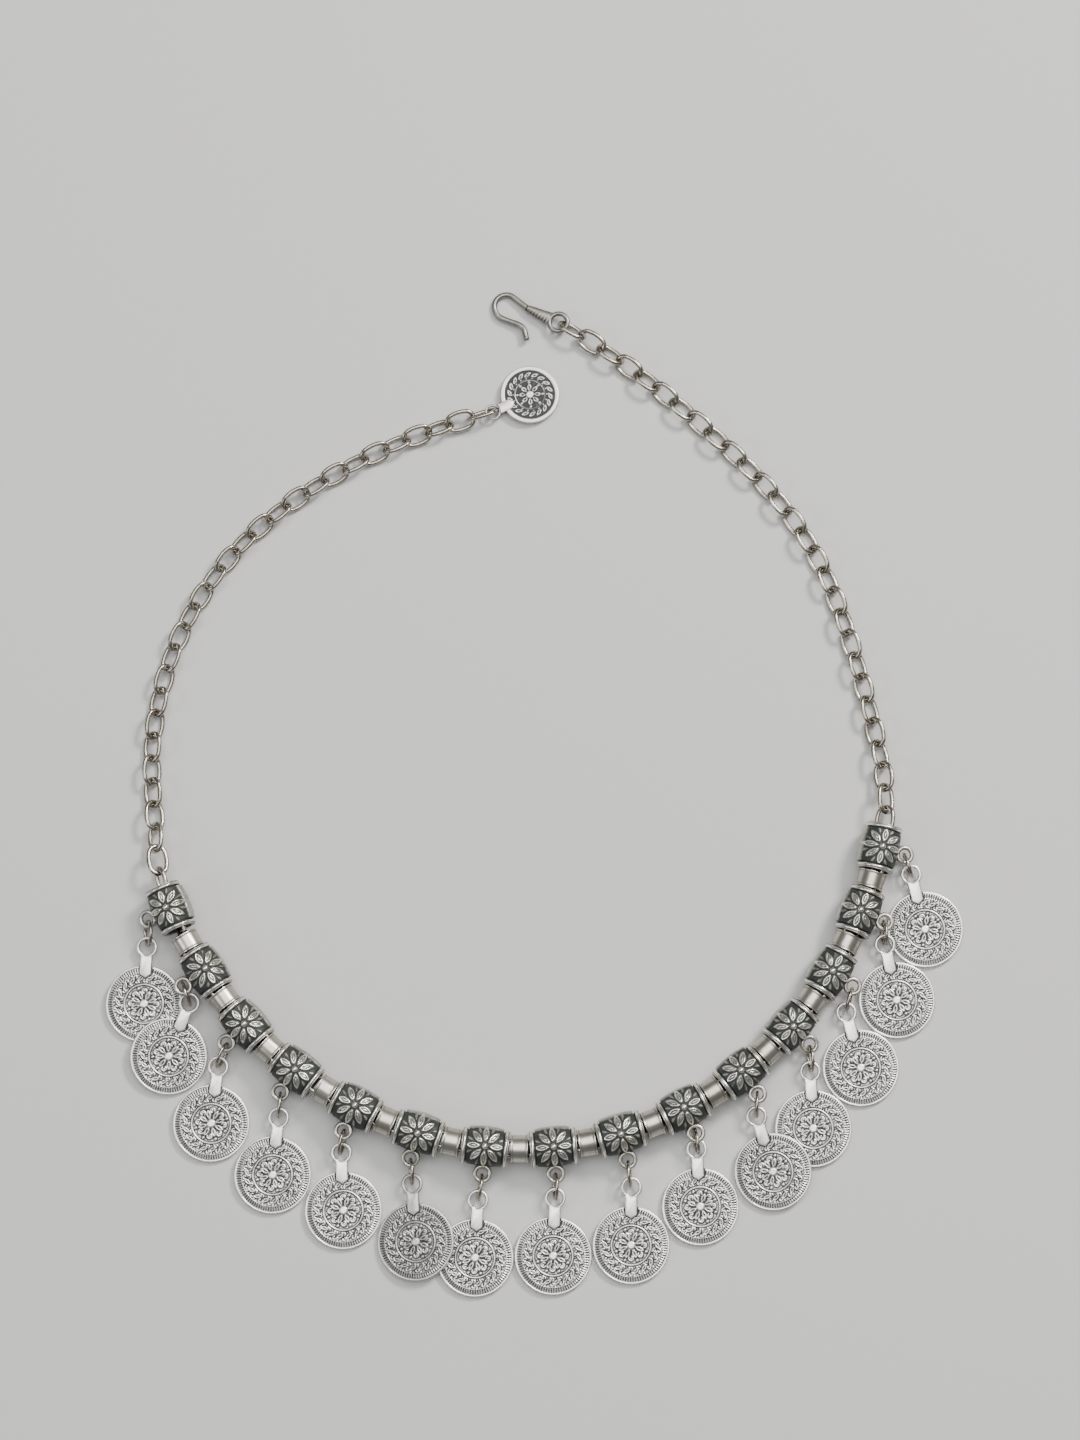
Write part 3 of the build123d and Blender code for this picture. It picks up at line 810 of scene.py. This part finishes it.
def spacer_shape():
    """Short tube about Z with a thin lip at each end."""
    upper = [(radius, SPACER_HALF_LENGTH - inward, wear) for radius, inward, wear in SPACER_END]
    lower = [(radius, -z, wear) for radius, z, wear in reversed(upper)]
    x, y = circle(1.0, SPACER_SIDES)
    rows = []
    for radius, z, wear in reversed(upper + lower):
        rows.append((np.column_stack([x * radius, y * radius, z + 0 * x]), wear))
    shape = Shape()
    shape.loop(rows)
    return shape


# Places of the repeated pieces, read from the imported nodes.

Surface = namedtuple("Surface", "points centres normals areas")


def read(rows, key, width):
    """One value of each vertex or face, as rows of this width."""
    values = np.empty(len(rows) * width)
    rows.foreach_get(key, values)
    return values.reshape(-1, width)


def surface(name):
    """Points of a CAD node, and its faces' centres, normals and areas, in millimetres."""
    mesh = nodes[name].data
    return Surface(
        read(mesh.vertices, "co", 3) / MM,
        read(mesh.polygons, "center", 3) / MM,
        read(mesh.polygons, "normal", 3),
        read(mesh.polygons, "area", 1) / MM**2,
    )


def main_axes(vectors, areas):
    """Unit axes of a spread of vectors, as columns: least spread along the first, most along the last."""
    return np.linalg.eigh((vectors * areas).T @ vectors)[1]


def frame_matrix(across, along, up, origin):
    """Matrix in metres from three axes and an origin in millimetres."""
    matrix = Matrix.Identity(4)
    for row in range(3):
        matrix[row][0], matrix[row][1], matrix[row][2] = across[row], along[row], up[row]
        matrix[row][3] = origin[row] * MM
    return matrix


def coin_place(name):
    """A coin lies in its flat faces' plane, and its strap and ring make it long one way."""
    cad = surface(name)
    up = main_axes(cad.normals, cad.areas)[:, 2]
    up *= np.sign(up[2])
    middle = (cad.centres * cad.areas).sum(0) / cad.areas.sum()
    flat = cad.centres - middle
    flat -= np.outer(flat @ up, up)
    along = main_axes(flat, cad.areas)[:, 2]
    reach = (cad.points - middle) @ along
    if reach.max() < -reach.min():
        along, reach = -along, -reach
    across = np.cross(along, up)
    side = (cad.points - middle) @ across
    radius = (side.max() - side.min()) / 2
    rise = (cad.points - middle) @ up
    origin = middle + along * (reach.min() + radius) + up * (rise.min() + COIN_HALF_HEIGHT)
    origin += across * (side.max() + side.min()) / 2
    return frame_matrix(across, along, up, origin)


def string_place(name, loop_from=None):
    """A bead or spacer: its axis is level, and a bead's loop shows its roll."""
    cad = surface(name)
    axis = main_axes(cad.normals, cad.areas)[:, 0]
    reach = cad.points @ axis
    end = np.unique(cad.points[reach > reach.max() - END_SLACK].round(3), axis=0)
    origin = end.mean(0)
    origin += axis * ((reach.max() + reach.min()) / 2 - origin @ axis)
    if loop_from is None:
        across = np.cross((0, 0, 1), axis)
    else:
        offset = cad.points - origin
        offset -= np.outer(offset @ axis, axis)
        across = offset[np.linalg.norm(offset, axis=1) > loop_from].mean(0)
    across /= np.linalg.norm(across)
    if np.cross(axis, across)[2] > 0:
        axis = -axis
    if loop_from is not None:
        droop = math.radians(LOOP_DROOP)
        across = across * math.cos(droop) - np.cross(axis, across) * math.sin(droop)
    return frame_matrix(across, np.cross(axis, across), axis, origin)


# Materials.

class Paint:
    """A material's nodes: each method adds one and links what it is given to it."""

    def __init__(self, material):
        self.material = material
        self.shader = material.node_tree.nodes["Principled BSDF"]
        self.link = material.node_tree.links.new

    def add(self, kind, **values):
        """A node with values for its sockets or settings."""
        node = self.material.node_tree.nodes.new(kind)
        for key, value in values.items():
            if key in node.inputs:
                node.inputs[key].default_value = value
            else:
                setattr(node, key, value)
        return node

    def fill(self, sockets, values):
        """Each socket gets a number, a colour or another node's output."""
        for socket, value in zip(sockets, values):
            if isinstance(value, bpy.types.NodeSocket):
                self.link(value, socket)
            else:
                socket.default_value = value

    def coordinates(self):
        """Places in the object's own space."""
        return self.add("ShaderNodeTexCoord").outputs["Object"]

    def noise(self, place, scale, detail, roughness):
        """Random values about 0.5."""
        texture = self.add("ShaderNodeTexNoise", Scale=scale, Detail=detail, Roughness=roughness)
        self.link(place, texture.inputs["Vector"])
        return texture.outputs["Fac"]

    def stretched(self, place, scale, turn):
        """Places that are stretched and turned."""
        mapping = self.add("ShaderNodeMapping", Scale=scale, Rotation=turn)
        self.link(place, mapping.inputs["Vector"])
        return mapping.outputs["Vector"]

    def fitted(self, value, start, end):
        """Value moved from one range to another and held inside it."""
        node = self.add("ShaderNodeMapRange")
        keys = ("Value", "From Min", "From Max", "To Min", "To Max")
        self.fill([node.inputs[key] for key in keys], (value, *start, *end))
        return node.outputs["Result"]

    def mixed(self, factor, first, second, blend_type="MIX"):
        """Mix of two colours, each of them a colour or an output."""
        node = self.add("ShaderNodeMix", data_type="RGBA", blend_type=blend_type)
        sockets = (node.inputs["Factor"], node.inputs[MIX_FIRST], node.inputs[MIX_SECOND])
        self.fill(sockets, (factor, first, second))
        return node.outputs[MIX_RESULT]

    def worked(self, operation, first, second=0.0):
        """Result of a sum, a product or the like."""
        node = self.add("ShaderNodeMath", operation=operation)
        self.fill(node.inputs, (first, second))
        return node.outputs["Value"]

    def measured(self, operation, place, other):
        """Distance to a point, or reach along a direction."""
        node = self.add("ShaderNodeVectorMath", operation=operation)
        self.fill(node.inputs, (place, other))
        return node.outputs["Value"]

    def bumped(self, height, strength, depth, **settings):
        """Normal that follows a height, on top of the shader's own normal if it has one."""
        bump = self.add("ShaderNodeBump", Strength=strength, Distance=depth, **settings)
        self.link(height, bump.inputs["Height"])
        for earlier in self.shader.inputs["Normal"].links:
            self.link(earlier.from_socket, bump.inputs["Normal"])
        self.link(bump.outputs["Normal"], self.shader.inputs["Normal"])


def new_material(name):
    material = bpy.data.materials.new(name)
    material.use_nodes = True
    return material


def silver(name, bright, dark, stain, roughness, wear_range, plain_wear=None, bump=0.25):
    """Worn silver: bright where the wear is high, oxidised where it is low, stained in patches. Roughness
    is that of the bright metal and of the dark."""
    paint = Paint(new_material(name))
    shader = paint.shader
    place = paint.coordinates()
    pits = paint.noise(place, **PITS)
    scratches = paint.noise(paint.stretched(place, SCRATCH_STRETCH, SCRATCH_TURN), **SCRATCHES)
    wear = plain_wear
    if wear is None:
        wear = paint.add("ShaderNodeAttribute", attribute_name="wear").outputs["Fac"]
    uneven = paint.fitted(paint.noise(place, **GRAIN), *UNEVEN_WEAR)
    share = paint.fitted(paint.worked("ADD", wear, uneven), wear_range, (0.0, 1.0))
    colour = paint.mixed(share, (*dark, 1), (*bright, 1))
    stained = paint.mixed(1.0, colour, (*stain, 1), "MULTIPLY")
    patchy = paint.fitted(paint.noise(place, **PATCHES), *STAINED_PATCHES)
    paint.link(paint.mixed(patchy, colour, stained), shader.inputs["Base Color"])
    paint.link(paint.fitted(share, (0.0, 1.0), roughness[::-1]), shader.inputs["Roughness"])
    paint.link(paint.fitted(share, *METAL_SHARE), shader.inputs["Metallic"])
    paint.bumped(paint.worked("ADD", pits, scratches), strength=bump, depth=PIT_DEPTH * MM)
    return paint.material


def add_hook_marks(material):
    """File marks across the hook's body, and a dark seam where the wire goes into it."""
    paint = Paint(material)
    place = paint.coordinates()
    points = surface("clasp_hook").points
    eye = Vector((points[:, 0].max() - HOOK_EYE_REACH, points[:, 1].min() + HOOK_TIP_REACH, HOOK_EYE_HEIGHT))
    way, side = Vector(HOOK_WAY), Vector(HOOK_SIDE)

    def distance_from(reach):
        return paint.measured("DISTANCE", place, (eye + way * reach) * MM)

    def reach_along(direction):
        return paint.measured("DOT_PRODUCT", place, direction)

    def metres(pair):
        return pair[0] * MM, pair[1] * MM

    body_end = metres((HOOK_BODY_REACH - HOOK_BODY_FADE, HOOK_BODY_REACH))
    body = paint.fitted(distance_from(HOOK_BODY_MIDDLE), body_end, (1.0, 0.0))
    slanted = reach_along(way + Vector((0.0, 0.0, FILE_MARK_SLANT)))
    turns = paint.worked("MULTIPLY", slanted, math.tau / (FILE_MARK_PITCH * MM))
    wave = paint.fitted(paint.worked("SINE", turns), FILE_MARK_WAVE, (0.0, 1.0))
    from_middle = paint.worked("SUBTRACT", reach_along(side), eye.dot(side) * MM)
    near_side = paint.fitted(from_middle, metres(NEAR_SIDE), (FAR_SIDE_STRENGTH, 1.0))
    marks = paint.worked("MULTIPLY", paint.worked("MULTIPLY", wave, body), near_side)
    from_seam = paint.worked("SUBTRACT", reach_along(way), (eye.dot(way) + HOOK_SEAM) * MM)
    seam = paint.fitted(paint.worked("ABSOLUTE", from_seam), metres(SEAM_FADE), (1.0, 0.0))
    near_seam = paint.fitted(distance_from(HOOK_SEAM), metres(SEAM_REACH), (1.0, 0.0))
    seam = paint.worked("MULTIPLY", seam, near_seam)
    colour = paint.shader.inputs["Base Color"].links[0].from_socket
    for mark, strength in ((marks, FILE_MARK_STRENGTH), (seam, SEAM_STRENGTH)):
        colour = paint.mixed(paint.fitted(mark, (0.0, 1.0), (0.0, strength)), colour, HOOK_DARK)
    paint.link(colour, paint.shader.inputs["Base Color"])
    paint.bumped(marks, strength=FILE_MARK_BUMP, depth=FILE_MARK_DEPTH * MM, invert=True)


MATERIALS = {
    "coin": silver(
        "coin silver",
        bright=WHITE_SILVER,
        dark=COIN_DARK,
        stain=(0.78, 0.76, 0.73),
        roughness=(0.36, 0.65),
        wear_range=(0.05, 0.80),
        bump=0.12,
    ),
    # Darker copy of the coin silver: painted shade on the coin that leans.
    "coin with painted shade": silver(
        "coin silver with painted shade",
        bright=(0.60, 0.58, 0.565),
        dark=COIN_DARK,
        stain=(0.80, 0.78, 0.76),
        roughness=(0.40, 0.65),
        wear_range=(0.0, 0.9),
        bump=0.15,
    ),
    "end coin": silver(
        "end coin silver",
        bright=(0.56, 0.535, 0.51),
        dark=(0.020, 0.026, 0.022),
        stain=(0.84, 0.80, 0.78),
        roughness=(0.40, 0.6),
        wear_range=(0.15, 0.80),
    ),
    "bead": silver(
        "oxidised bead",
        bright=(0.78, 0.75, 0.68),
        dark=(0.026, 0.032, 0.027),
        stain=(0.74, 0.70, 0.60),
        roughness=(0.27, 0.5),
        wear_range=(0.12, 0.88),
        bump=0.15,
    ),
    "spacer": silver(
        "satin spacer",
        bright=(0.52, 0.495, 0.435),
        dark=(0.04, 0.032, 0.020),
        stain=(0.72, 0.67, 0.56),
        roughness=(0.31, 0.5),
        wear_range=(0.0, 0.75),
    ),
    "wire": silver(
        "wire silver",
        bright=(0.44, 0.41, 0.355),
        dark=(0.07, 0.056, 0.038),
        stain=WIRE_STAIN,
        roughness=(0.21, 0.40),
        wear_range=(0.0, 0.7),
        plain_wear=WIRE_WEAR,
    ),
    "ring wire": silver(
        "ring wire silver",
        bright=(0.42, 0.385, 0.325),
        dark=(0.07, 0.055, 0.04),
        stain=WIRE_STAIN,
        roughness=(0.22, 0.40),
        wear_range=(0.0, 0.7),
        plain_wear=WIRE_WEAR,
    ),
    "hook": silver(
        "hook silver",
        bright=(0.37, 0.352, 0.315),
        dark=HOOK_DARK[:3],
        stain=(0.74, 0.71, 0.66),
        roughness=(0.32, 0.5),
        wear_range=(0.0, 0.9),
        plain_wear=WIRE_WEAR,
        bump=0.5,
    ),
}


def put(name, data):
    """A new object in the scene."""
    piece = bpy.data.objects.new(name, data)
    bpy.context.scene.collection.objects.link(piece)
    return piece


def place_copy(mesh, name, node, matrix, material):
    """A copy of a mesh in its place, which stands for a CAD node."""
    copy = mesh.copy()
    copy.name = name
    copy.transform(matrix)
    copy.materials.append(material)
    piece = put(name, copy)
    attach(piece, "root")
    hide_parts(node)


def coins():
    mesh = coin_shape().mesh("coin", SHARP_ANGLE)
    for index in range(1, BEAD_COUNT + 1):
        node = f"coin_{index:02d}"
        # The leaning coin gets the darker silver, which is painted shade.
        material = MATERIALS["coin with painted shade" if index == PAINTED_SHADE_COIN else "coin"]
        place_copy(mesh, f"coin_charm_{index:02d}", node, coin_place(node), material)
    mesh = end_coin_shape().mesh("end coin", SHARP_ANGLE)
    place = coin_place("end_coin")
    place_copy(mesh, "end_coin_charm", "end_coin", place, MATERIALS["end coin"])


def beads():
    mesh = bead_shape().mesh("bead", SHARP_ANGLE)
    for index in range(1, BEAD_COUNT + 1):
        node = f"flower_bead_{index:02d}"
        place = string_place(node, loop_from=LOOP_FROM)
        place_copy(mesh, f"bead_{index:02d}", node, place, MATERIALS["bead"])


def spacers():
    mesh = spacer_shape().mesh("spacer", SPACER_SHARP_ANGLE)
    for index in range(1, BEAD_COUNT):
        node = f"spacer_tube_{index:02d}"
        place = string_place(node)
        place_copy(mesh, f"spacer_{index:02d}", node, place, MATERIALS["spacer"])


def repaint(node, material):
    """A CAD node that stays gets a detailed material."""
    for slot in nodes[node].material_slots:
        slot.material = material


def wires():
    repaint("chain", MATERIALS["wire"])
    repaint("jump_rings", MATERIALS["ring wire"])
    add_hook_marks(MATERIALS["hook"])
    repaint("clasp_hook", MATERIALS["hook"])


def camera():
    data = bpy.data.cameras.new("camera")
    data.lens = CAMERA_LENS
    data.sensor_width = CAMERA_SENSOR
    data.clip_start = CAMERA_CLIP_START * MM
    data.clip_end = CAMERA_CLIP_END * MM
    piece = put("camera", data)
    rise = math.radians(CAMERA_ELEVATION)
    back = Vector((0.0, -math.cos(rise), math.sin(rise)))
    aim = Vector((*CAMERA_AIM, 0.0)) * MM
    piece.location = aim + back * CAMERA_DISTANCE * MM
    piece.rotation_euler = (math.radians(90 - CAMERA_ELEVATION), 0.0, 0.0)
    bpy.context.scene.camera = piece


def floor():
    mesh = bpy.data.meshes.new("floor")
    corners = [(x * FLOOR_REACH, y * FLOOR_REACH, 0) for x, y in ((-1, -1), (1, -1), (1, 1), (-1, 1))]
    mesh.from_pydata(corners, [], [(0, 1, 2, 3)])
    paint = Paint(new_material("floor"))
    paint.shader.inputs["Base Color"].default_value = FLOOR_COLOUR
    paint.shader.inputs["Roughness"].default_value = FLOOR_ROUGHNESS
    mesh.materials.append(paint.material)
    piece = put("floor", mesh)


def area_light(name, place, size, power, colour):
    """Round softbox that looks at the necklace."""
    data = bpy.data.lights.new(name, "AREA")
    data.shape = "DISK"
    data.size = size
    data.energy = power
    data.color = colour
    piece = put(name, data)
    piece.location = place
    piece.rotation_euler = (-Vector(place)).to_track_quat("-Z", "Y").to_euler()


def light():
    world = bpy.data.worlds.new("studio")
    world.use_nodes = True
    background = world.node_tree.nodes["Background"]
    background.inputs["Color"].default_value = WORLD_COLOUR
    background.inputs["Strength"].default_value = WORLD_STRENGTH
    bpy.context.scene.world = world
    for name, place, size, power, colour in SOFTBOXES:
        area_light(name, place, size, power, colour)


camera()
light()
floor()
coins()
beads()
spacers()
wires()
